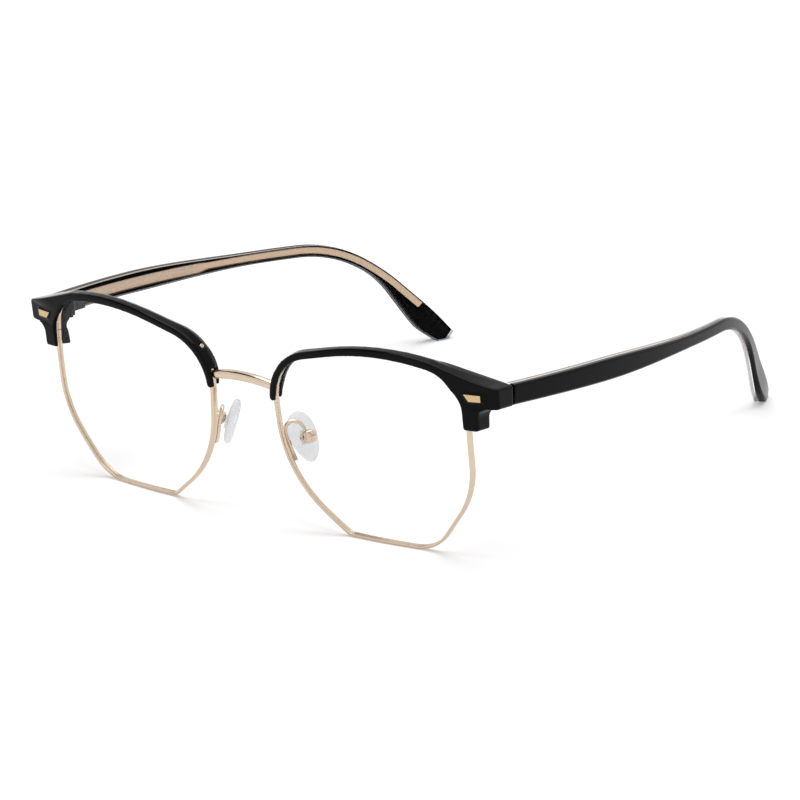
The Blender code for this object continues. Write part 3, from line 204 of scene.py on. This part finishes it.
camera_data = bpy.data.cameras.new("camera")
camera_data.lens = CAMERA_LENS
camera_data.shift_x, camera_data.shift_y = CAMERA_SHIFT
camera = bpy.data.objects.new("camera", camera_data)
turn = Matrix.Rotation(CAMERA_TURN, 4, "Z")
rise = Matrix.Rotation(math.pi / 2 - CAMERA_RISE, 4, "X")
roll = Matrix.Rotation(CAMERA_ROLL, 4, "Z")
camera.matrix_world = Matrix.Translation(CAMERA_PLACE) @ turn @ rise @ roll
scene.collection.objects.link(camera)
scene.camera = camera
scene.view_settings.view_transform = "Standard"


# The lenses are clear moulded plastic with a faint coating, cut to the rim's shape.
# They show by a slight grey at grazing angles and a thin polished edge.
SIDES = {"left": 1, "right": -1}
WELD = 2e-6
FLAT_WITHIN = math.radians(0.6)
LENS_GREY = (0.86, 0.90, 0.93, 1.0)
LENS_CLEAR = (0.93, 0.95, 0.96, 1.0)
LENS_SHEEN = 0.05
LENS_FILM = 0.008


def joined(node):
    """A node's own surface as one mesh in progress, with its loose faces joined."""
    shape = bmesh.new()
    shape.from_mesh(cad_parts[node].data)
    bmesh.ops.remove_doubles(shape, verts=shape.verts, dist=WELD)
    return shape


def dress(node, mesh, body, finish):
    """The mesh as a piece that stands for the node and moves with its body."""
    mesh.materials.clear()
    mesh.materials.append(finish)
    piece = bpy.data.objects.new(node + "_finish", mesh)
    scene.collection.objects.link(piece)
    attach(piece, body)
    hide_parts(node)
    return piece


def polished(node, body, finish, crease=32.0, round_edge=0.0, steps=2, shy=0.0):
    """A node's surface with smooth shading and rounded edges, held back from its neighbours by shy."""
    mesh = bpy.data.meshes.new(node + "_finish")
    shape = joined(node)
    bmesh.ops.dissolve_limit(shape, angle_limit=FLAT_WITHIN, verts=shape.verts, edges=shape.edges)
    bmesh.ops.recalc_face_normals(shape, faces=shape.faces)
    for face in shape.faces:
        face.smooth = True
    for edge in shape.edges:
        edge.smooth = edge.calc_face_angle(0.0) < math.radians(crease)
    shape.normal_update()
    for vert in shape.verts:
        vert.co -= vert.normal * shy
    shape.to_mesh(mesh)
    shape.free()
    piece = dress(node, mesh, body, finish)
    if round_edge:
        bevel = piece.modifiers.new("rounded_edges", "BEVEL")
        bevel.width = round_edge
        bevel.segments = steps
        bevel.limit_method = "ANGLE"
        bevel.angle_limit = math.radians(crease)
        bevel.harden_normals = True


lens_plastic, tree = new_finish("lens_plastic")
tint = tree.between(tree.noise(scale=60.0), LENS_GREY, LENS_CLEAR)
sheen = tree.node("ShaderNodeLayerWeight", {}, {"Blend": 0.2}, "Fresnel")
surface = tree.node(
    "ShaderNodeBsdfPrincipled",
    {},
    {"Base Color": tint, "Roughness": 0.03, "IOR": 1.5, "Alpha": sheen * LENS_SHEEN + LENS_FILM},
)
tree.node("ShaderNodeOutputMaterial", {}, {"Surface": surface})

for side in SIDES:
    polished("lens_" + side, "front", lens_plastic, crease=40.0)


# The rims are drawn wire with pale gold plating, bent to the lens shape and closed at the temple side
# by a split block with a small screw. The bridge is a bar of the same metal, soldered between them.
GOLD_DEEP = (0.62, 0.49, 0.365, 1.0)
GOLD_PALE = (0.69, 0.56, 0.43, 1.0)
GOLD_ROUGH = 0.1
GOLD_RUBBED = 0.1
GOLD_EDGE = 1.5e-4
BLOCK_EDGE = 8e-5
SCREW_EDGE = 5e-5

pale_gold, tree = new_finish("pale_gold")
tone = tree.between(tree.noise(scale=900.0), GOLD_DEEP, GOLD_PALE)
rubbed = tree.noise(scale=2400.0, detail=3.0)
soft_edge = tree.node("ShaderNodeBevel", {"samples": 4}, {"Radius": GOLD_EDGE})
grain = tree.node(
    "ShaderNodeBump", {}, {"Strength": 0.06, "Distance": 1e-5, "Height": rubbed, "Normal": soft_edge}
)
roughness = rubbed * GOLD_RUBBED + GOLD_ROUGH
surface = tree.node(
    "ShaderNodeBsdfPrincipled",
    {},
    {"Base Color": tone, "Metallic": 1.0, "Roughness": roughness, "Normal": grain},
)
tree.node("ShaderNodeOutputMaterial", {}, {"Surface": surface})

for side in SIDES:
    polished("eyewire_" + side, "front", pale_gold, crease=50.0)
    polished("rim_lock_upper_" + side, "front", pale_gold, round_edge=BLOCK_EDGE)
    polished("rim_lock_lower_" + side, "front", pale_gold, round_edge=BLOCK_EDGE)
    polished("rim_lock_screw_" + side, "front", pale_gold, round_edge=SCREW_EDGE)
polished("bridge", "front", pale_gold, crease=60.0)


# The brows are milled from black acetate sheet and tumbled to a polish, so their edges are soft.
# Walls far out on the frame that face the middle, in the legs and along the temples, are made dull with
# little gloss as painted shade.
# A small screw pins each brow to its rim, and a gold plate is let into the front of its end piece.
BLACK_DEEP = (0.0014, 0.0013, 0.0015, 1.0)
BLACK_PALE = (0.0028, 0.0026, 0.0027, 1.0)
BLACK_ROUGH = 0.06
BLACK_CLOUD = 0.05
BLACK_EDGE = 4.5e-4
DULL_SHADE_DEEP = (0.006, 0.006, 0.0065, 1.0)
DULL_SHADE_PALE = (0.010, 0.010, 0.0105, 1.0)
DULL_FACING = (0.3, 0.6)
DULL_PLACE = (0.045, 0.048)
INLAY_DEEP = (0.57, 0.40, 0.21, 1.0)
INLAY_PALE = (0.66, 0.48, 0.27, 1.0)
INLAY_ROUGH = 0.2
INLAY_RUBBED = 0.12
INLAY_EDGE = 1e-4
INLAY_GROW = 1.25
INLAY_SINK = Vector((0.0, 2.2e-4, 0.0))
BROW_GRAIN = 1.8e-4
BROW_PASSES = 8

black_acetate, tree = new_finish("black_acetate")
cloud = tree.noise(scale=160.0, detail=3.0)
tone = tree.between(cloud, BLACK_DEEP, BLACK_PALE)
soft_edge = tree.node("ShaderNodeBevel", {"samples": 8}, {"Radius": BLACK_EDGE})
wave = tree.noise(scale=260.0)
ripple = tree.node(
    "ShaderNodeBump", {}, {"Strength": 0.02, "Distance": 1e-5, "Height": wave, "Normal": soft_edge}
)
roughness = cloud * BLACK_CLOUD + BLACK_ROUGH
gloss = tree.node(
    "ShaderNodeBsdfPrincipled",
    {},
    {"Base Color": tone, "Roughness": roughness, "IOR": 1.18, "Normal": ripple},
)
# Painted shade: a dull surface with little gloss on walls far out that face the middle.
dull_shade_tone = tree.between(cloud, DULL_SHADE_DEEP, DULL_SHADE_PALE)
dull_shade = tree.node("ShaderNodeBsdfPrincipled", {}, {"Base Color": dull_shade_tone, "Roughness": 0.7, "IOR": 1.08})
across = tree.along("X")
own_side = tree.node("ShaderNodeMath", {"operation": "SIGN"}, {0: across})
inner_wall = tree.ramp(tree.along("X", "Normal") * own_side * -1.0, *DULL_FACING)
far_out = tree.ramp(tree.node("ShaderNodeMath", {"operation": "ABSOLUTE"}, {0: across}), *DULL_PLACE)
surface = tree.node("ShaderNodeMixShader", {}, {"Fac": inner_wall * far_out, 1: gloss, 2: dull_shade})
tree.node("ShaderNodeOutputMaterial", {}, {"Surface": surface})

rivet_gold, tree = new_finish("rivet_gold")
rubbed = tree.noise(scale=1800.0, detail=3.0)
tone = tree.between(rubbed, INLAY_DEEP, INLAY_PALE)
roughness = rubbed * INLAY_RUBBED + INLAY_ROUGH
surface = tree.node(
    "ShaderNodeBsdfPrincipled", {}, {"Base Color": tone, "Metallic": 1.0, "Roughness": roughness}
)
tree.node("ShaderNodeOutputMaterial", {}, {"Surface": surface})


def middle_of(verts):
    return sum((vert.co for vert in verts), Vector()) / len(verts)


def settled(holder, name):
    """What a holder's modifiers make of its mesh, as a plain mesh. The holder is dropped."""
    mesh = bpy.data.meshes.new_from_object(holder.evaluated_get(bpy.context.evaluated_depsgraph_get()))
    holder.modifiers.clear()
    bpy.data.objects.remove(holder)
    mesh.name = name
    return mesh


def softened(node, body, finish, grain, passes, inlay=None, puff=0.0):
    """A node's form with every edge worn round: more passes wear more, and puff draws it towards a ball.
    An inlay's node fills its own seat first, so that the seat's walls aren't worn open."""
    block = bpy.data.meshes.new(node + "_block")
    shape = joined(node)
    if inlay:
        plug = joined(inlay)
        middle = middle_of(plug.verts)
        for vert in plug.verts:
            vert.co = middle + (vert.co - middle) * INLAY_GROW + INLAY_SINK
        filled = bpy.data.meshes.new(inlay + "_plug")
        plug.to_mesh(filled)
        plug.free()
        shape.from_mesh(filled)
    shape.to_mesh(block)
    shape.free()
    form = bpy.data.objects.new(node + "_form", block)
    scene.collection.objects.link(form)
    skin = form.modifiers.new("skin", "REMESH")
    skin.mode = "VOXEL"
    skin.voxel_size = grain
    skin.use_smooth_shade = True
    wear = form.modifiers.new("wear", "SMOOTH")
    wear.factor = 0.5
    wear.iterations = passes
    mesh = settled(form, node + "_finish")
    if puff:
        middle = middle_of(mesh.vertices)
        size = sum((vert.co - middle).length for vert in mesh.vertices) / len(mesh.vertices)
        for vert in mesh.vertices:
            way = vert.co - middle
            vert.co = middle + way * (1.0 + puff * (size / way.length - 1.0))
    dress(node, mesh, body, finish)


for side in SIDES:
    inlay = "rivet_plate_" + side
    softened("brow_" + side, "front", black_acetate, BROW_GRAIN, BROW_PASSES, inlay)
    polished(inlay, "front", rivet_gold, round_edge=INLAY_EDGE, steps=3)
    polished("brow_screw_" + side, "front", pale_gold)


# A bent wire soldered to each rim carries a small pressed box, and a screw through the box
# holds the tongue of the nose pad: soft silicone moulded over a stiff plastic core.
PAD_CORE_GREY = (0.82, 0.82, 0.84, 1.0)
PAD_CORE_WHITE = (0.88, 0.88, 0.90, 1.0)
PAD_CORE_EDGE = 5e-5
SILICONE_GREY = (0.80, 0.81, 0.87, 1.0)
SILICONE_WHITE = (0.87, 0.88, 0.93, 1.0)
SILICONE_ROUGH = 0.25
SILICONE_HAZE = 0.1
SILICONE_COVER = 0.3
SILICONE_RIM = 0.25
PAD_BOX_GRAIN = 1e-4
PAD_BOX_PASSES = 30
PAD_BOX_PUFF = 0.55
PAD_GRAIN = 1.4e-4
PAD_PASSES = 6

pad_core_plastic, tree = new_finish("pad_core_plastic")
tone = tree.between(tree.noise(scale=500.0), PAD_CORE_GREY, PAD_CORE_WHITE)
surface = tree.node("ShaderNodeBsdfPrincipled", {}, {"Base Color": tone, "Roughness": 0.3, "Alpha": 0.3})
tree.node("ShaderNodeOutputMaterial", {}, {"Surface": surface})

silicone, tree = new_finish("silicone")
haze = tree.noise(scale=300.0)
tone = tree.between(haze, SILICONE_GREY, SILICONE_WHITE)
roughness = haze * SILICONE_HAZE + SILICONE_ROUGH
rim_glow = tree.node("ShaderNodeLayerWeight", {}, {"Blend": 0.4}, "Facing")
cover = rim_glow * SILICONE_RIM + SILICONE_COVER
surface = tree.node(
    "ShaderNodeBsdfPrincipled", {}, {"Base Color": tone, "Roughness": roughness, "Alpha": cover}
)
tree.node("ShaderNodeOutputMaterial", {}, {"Surface": surface})

for side in SIDES:
    pad_body = "nose_pad_" + side
    pad_box = "pad_box_" + side
    polished("pad_arm_" + side, "front", pale_gold, crease=60.0)
    softened(pad_box, "front", pale_gold, PAD_BOX_GRAIN, PAD_BOX_PASSES, puff=PAD_BOX_PUFF)
    polished("pad_screw_" + side, "front", pale_gold, round_edge=SCREW_EDGE)
    polished("pad_core_" + side, pad_body, pad_core_plastic, round_edge=PAD_CORE_EDGE)
    softened("nose_pad_" + side, pad_body, silicone, PAD_GRAIN, PAD_PASSES)


# Low turned heads with a milled driver slot finish the screws in the brows and the pad boxes.
# They are alike but for size, so one tree sets a head on the end of each screw.
# A head's own sizes are shares of the radius of its screw.
HEAD_HEIGHT = 0.3
HEAD_TAPER = 0.86
HEAD_FACETS = 24
SLOT_WIDTH = 0.32
SLOT_DEPTH = 0.22
SLOT_LENGTH = 3.0
END_WITHIN = math.radians(2.0)


def grown(name, base, tree_group, values, body):
    """What a geometry tree grows from a base mesh, as a plain piece that moves with a body."""
    seat = bpy.data.objects.new(name + "_seat", base)
    scene.collection.objects.link(seat)
    growth = seat.modifiers.new("growth", "NODES")
    growth.node_group = tree_group
    for item in tree_group.interface.items_tree:
        if item.in_out == "INPUT" and item.name in values:
            growth[item.identifier] = values[item.name]
    piece = bpy.data.objects.new(name, settled(seat, name))
    scene.collection.objects.link(piece)
    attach(piece, body)


def tree_with(name, inputs):
    """An empty geometry tree with a mesh in, a mesh out and the named inputs, given as sockets by name."""
    group = bpy.data.node_groups.new(name, "GeometryNodeTree")
    group.interface.new_socket("Base", in_out="INPUT", socket_type="NodeSocketGeometry")
    group.interface.new_socket("Result", in_out="OUTPUT", socket_type="NodeSocketGeometry")
    for title, kind in inputs.items():
        group.interface.new_socket(title, in_out="INPUT", socket_type="NodeSocket" + kind)
    tree = Tree(group)
    given = {title: tree.node("NodeGroupInput", {}, {}, title) for title in ("Base", *inputs)}
    return group, tree, given


def set_out(tree, copies, finish):
    """Copies made real and given their finish, as the geometry tree's result."""
    whole = tree.node("GeometryNodeRealizeInstances", {}, {"Geometry": copies})
    coated = tree.node("GeometryNodeSetMaterial", {}, {"Geometry": whole, "Material": finish})
    tree.node("NodeGroupOutput", {}, {"Result": coated})


head_sizes = {"Height": HEAD_HEIGHT, "Taper": HEAD_TAPER, "Slot width": SLOT_WIDTH, "Slot depth": SLOT_DEPTH}
head_inputs = {title: "Float" for title in head_sizes}
head_inputs["Finish"] = "Material"
head_group, tree, given = tree_with("slotted_heads", head_inputs)
blank = tree.node(
    "GeometryNodeMeshCone",
    {},
    {"Vertices": HEAD_FACETS, "Radius Top": given["Taper"], "Radius Bottom": 1.0, "Depth": given["Height"]},
)
cutter_size = tree.node(
    "ShaderNodeCombineXYZ", {}, {"X": SLOT_LENGTH, "Y": given["Slot width"], "Z": given["Slot depth"] * 2.0}
)
cutter = tree.node("GeometryNodeMeshCube", {}, {"Size": cutter_size})
cutter_place = tree.node("ShaderNodeCombineXYZ", {}, {"Z": given["Height"]})
cutter = tree.node("GeometryNodeTransform", {}, {"Geometry": cutter, "Translation": cutter_place})
head = tree.node("GeometryNodeMeshBoolean", {"operation": "DIFFERENCE"}, {"Mesh 1": blank, "Mesh 2": cutter})
axis = tree.node("GeometryNodeInputNamedAttribute", {"data_type": "FLOAT_VECTOR"}, {"Name": "axis"})
radius = tree.node("GeometryNodeInputNamedAttribute", {"data_type": "FLOAT"}, {"Name": "radius"})
turned = tree.node("FunctionNodeAlignRotationToVector", {"axis": "Z"}, {"Vector": axis})
heads = tree.node(
    "GeometryNodeInstanceOnPoints",
    {},
    {"Points": given["Base"], "Instance": head, "Rotation": turned, "Scale": radius},
)
set_out(tree, heads, given["Finish"])


def screw_ends(screws):
    """A mesh of points, one on the flat end of each screw that faces the given way."""
    ends = []
    for node, way in screws:
        shape = joined(node)
        bmesh.ops.dissolve_limit(shape, angle_limit=END_WITHIN, verts=shape.verts, edges=shape.edges)
        end = max(shape.faces, key=lambda face: face.normal.dot(way) * face.calc_area())
        ends.append((end.calc_center_median(), end.normal.copy(), math.sqrt(end.calc_area() / math.pi)))
        shape.free()
    mesh = bpy.data.meshes.new("screw_ends")
    mesh.from_pydata([place for place, way, size in ends], [], [])
    axes = mesh.attributes.new("axis", "FLOAT_VECTOR", "POINT")
    axes.data.foreach_set("vector", [number for place, way, size in ends for number in way])
    sizes = mesh.attributes.new("radius", "FLOAT", "POINT")
    sizes.data.foreach_set("value", [size for place, way, size in ends])
    return mesh


gold_screws = []
for side, outward in SIDES.items():
    gold_screws.append(("brow_screw_" + side, Vector((-outward, 0.0, 1.0))))
    gold_screws.append(("pad_screw_" + side, Vector((0.0, -1.0, 0.0))))
gold_heads = {**head_sizes, "Finish": pale_gold}
grown("gold_screw_heads", screw_ends(gold_screws), head_group, gold_heads, "front")


# The hinges are dark steel blocks of three barrels, the front leaf sunk in the brow's end piece
# and the rear leaf in the temple. A slotted screw from above is the pin that the temple turns on.
STEEL_DEEP = (0.012, 0.011, 0.011, 1.0)
STEEL_PALE = (0.03, 0.028, 0.027, 1.0)
STEEL_ROUGH = 0.3
STEEL_RUBBED = 0.2

dark_steel, tree = new_finish("dark_steel")
rubbed = tree.noise(scale=1500.0, detail=3.0)
tone = tree.between(rubbed, STEEL_DEEP, STEEL_PALE)
roughness = rubbed * STEEL_RUBBED + STEEL_ROUGH
surface = tree.node("ShaderNodeBsdfPrincipled", {}, {"Base Color": tone, "IOR": 1.25, "Roughness": roughness})
tree.node("ShaderNodeOutputMaterial", {}, {"Surface": surface})

for side in SIDES:
    arm_body = "temple_" + side
    polished("hinge_front_" + side, "front", dark_steel)
    polished("hinge_screw_" + side, "front", dark_steel, round_edge=SCREW_EDGE)
    polished("hinge_temple_" + side, arm_body, dark_steel)
hinge_screws = [("hinge_screw_" + side, STRAIGHT_UP) for side in SIDES]
hinge_heads = {**head_sizes, "Finish": dark_steel}
grown("hinge_screw_heads", screw_ends(hinge_screws), head_group, hinge_heads, "front")


# The temples are two sheets of acetate pressed together over a flat metal core:
# black outside, crystal clear inside, so that the core shows from the wearer's side.
# The clear sheet's edges are painted: a warm painted reflection of the core on the top faces, and painted
# shade on the faces below that turns pale at the tip.
CLEAR_DEEP = (0.08, 0.085, 0.095, 1.0)
CLEAR_PALE = (0.13, 0.135, 0.15, 1.0)
CLEAR_SHY = 3e-5
TOP_CORE_REFLECTION_COLOUR = (0.36, 0.28, 0.22, 1.0)
TOP_FACING = (0.85, 0.97)
TOP_COVER = 0.92
UNDER_SHADE_COLOUR = (0.02, 0.018, 0.018, 1.0)
UNDER_TIP_SHADE_COLOUR = (0.27, 0.29, 0.34, 1.0)
UNDER_FACING = (-0.3, -0.6)
UNDER_COVER = 0.85
UNDER_TIP_LESS = 0.2
TIP_PLACE = (0.030, 0.055)
SHEEN_COVER = 0.05
LEAST_COVER = 0.001

clear_acetate, tree = new_finish("clear_acetate")
from_inside = tree.node("ShaderNodeNewGeometry", {}, {}, "Backfacing")
upward = tree.along("Z", "Normal") * (1.0 - from_inside * 2.0)
# Painted reflection: top faces get a warm tint for the core seen through the edge.
painted_core_reflection = tree.ramp(upward, *TOP_FACING)
# Painted shade: faces that point down are dark, and paler towards the tip.
shaded_under_edge = tree.ramp(upward, *UNDER_FACING)
at_tip = tree.ramp(tree.along("Y"), *TIP_PLACE)
glass = tree.between(tree.noise(scale=120.0), CLEAR_DEEP, CLEAR_PALE)
tone = tree.between(painted_core_reflection, glass, TOP_CORE_REFLECTION_COLOUR)
under_shade_tone = tree.between(at_tip, UNDER_SHADE_COLOUR, UNDER_TIP_SHADE_COLOUR)
tone = tree.between(shaded_under_edge, tone, under_shade_tone)
sheen = tree.node("ShaderNodeLayerWeight", {}, {"Blend": 0.25}, "Facing")
under_cover = shaded_under_edge * (UNDER_COVER - at_tip * UNDER_TIP_LESS)
cover = sheen * sheen * SHEEN_COVER + painted_core_reflection * TOP_COVER + under_cover + LEAST_COVER
surface = tree.node(
    "ShaderNodeBsdfPrincipled", {}, {"Base Color": tone, "Roughness": 0.06, "IOR": 1.3, "Alpha": cover}
)
tree.node("ShaderNodeOutputMaterial", {}, {"Surface": surface})

PLATE_END = -0.007
ROD_START = PLATE_END + 0.002
PLATE_DEEP = (0.49, 0.365, 0.275, 1.0)
PLATE_PALE = (0.63, 0.49, 0.385, 1.0)
ROD_HIGHLIGHT_DEEP = (0.56, 0.41, 0.285, 1.0)
ROD_HIGHLIGHT_PALE = (0.66, 0.50, 0.37, 1.0)
CORE_ROUGH = 0.3
CORE_RUBBED = 0.2
CORE_ROUND = 5e-4
CORE_EDGE = 5e-5

core_metal, tree = new_finish("core_metal")
# Painted highlight: the round rod of the same core metal is given a lighter, warmer tone than the plate.
on_rod = tree.ramp(tree.along("Y"), PLATE_END, ROD_START)
plate_tone = tree.between(tree.noise(scale=1500.0), PLATE_DEEP, PLATE_PALE)
rod_highlight_tone = tree.between(tree.noise(scale=1500.0), ROD_HIGHLIGHT_DEEP, ROD_HIGHLIGHT_PALE)
tone = tree.between(on_rod, plate_tone, rod_highlight_tone)
rubbed = tree.noise(scale=3000.0, detail=3.0)
roughness = rubbed * CORE_RUBBED + CORE_ROUGH
soft_edge = tree.node("ShaderNodeBevel", {"samples": 4}, {"Radius": CORE_ROUND})
grain = tree.node(
    "ShaderNodeBump", {}, {"Strength": 0.2, "Distance": 3e-5, "Height": rubbed, "Normal": soft_edge}
)
surface = tree.node(
    "ShaderNodeBsdfPrincipled",
    {},
    {"Base Color": tone, "Metallic": 0.85, "Roughness": roughness, "Normal": grain},
)
tree.node("ShaderNodeOutputMaterial", {}, {"Surface": surface})

for side in SIDES:
    arm_body = "temple_" + side
    polished("temple_outer_" + side, arm_body, black_acetate)
    polished("temple_inner_" + side, arm_body, clear_acetate, shy=CLEAR_SHY)
    polished("core_wire_" + side, arm_body, core_metal, round_edge=CORE_EDGE)


# The wide plate of each core is stippled by a punch on the face that the wearer sees,
# which leaves fine raised grains of the plate's own metal, close together but never in rows.
GRAIN_GAP = 6.0e-4
GRAIN_RADIUS = 1.5e-4
GRAIN_FACING = 0.7
GRAIN_CROWD = 1e7
GRAIN_SEED = 7

grain_sizes = {"Plate end": PLATE_END, "Gap": GRAIN_GAP, "Size": GRAIN_RADIUS}
grain_inputs = {"Inward": "Vector", **{title: "Float" for title in grain_sizes}, "Finish": "Material"}
grain_group, tree, given = tree_with("stipple", grain_inputs)
facing = tree.node("GeometryNodeInputNormal", {}, {})
toward = {0: facing, 1: given["Inward"]}
inside = tree.node("ShaderNodeVectorMath", {"operation": "DOT_PRODUCT"}, toward, "Value")
inside = tree.node("ShaderNodeMath", {"operation": "GREATER_THAN"}, {0: inside, 1: GRAIN_FACING})
place = tree.node("GeometryNodeInputPosition", {}, {})
back = tree.node("ShaderNodeSeparateXYZ", {}, {"Vector": place}, "Y")
on_plate = tree.node("ShaderNodeMath", {"operation": "LESS_THAN"}, {0: back, 1: given["Plate end"]})
grains = tree.node(
    "GeometryNodeDistributePointsOnFaces",
    {"distribute_method": "POISSON"},
    {
        "Mesh": given["Base"],
        "Selection": inside * on_plate,
        "Distance Min": given["Gap"],
        "Density Max": GRAIN_CROWD,
        "Seed": GRAIN_SEED,
    },
)
grain = tree.node("GeometryNodeMeshIcoSphere", {}, {"Radius": given["Size"], "Subdivisions": 1})
grains = tree.node("GeometryNodeInstanceOnPoints", {}, {"Points": grains, "Instance": grain})
set_out(tree, grains, given["Finish"])

for side, outward in SIDES.items():
    plate = bpy.data.meshes.new("plate_" + side)
    shape = joined("core_wire_" + side)
    shape.to_mesh(plate)
    shape.free()
    grain_values = {**grain_sizes, "Inward": (-outward, 0.0, 0.0), "Finish": pale_gold}
    grown("stipple_" + side, plate, grain_group, grain_values, "temple_" + side)
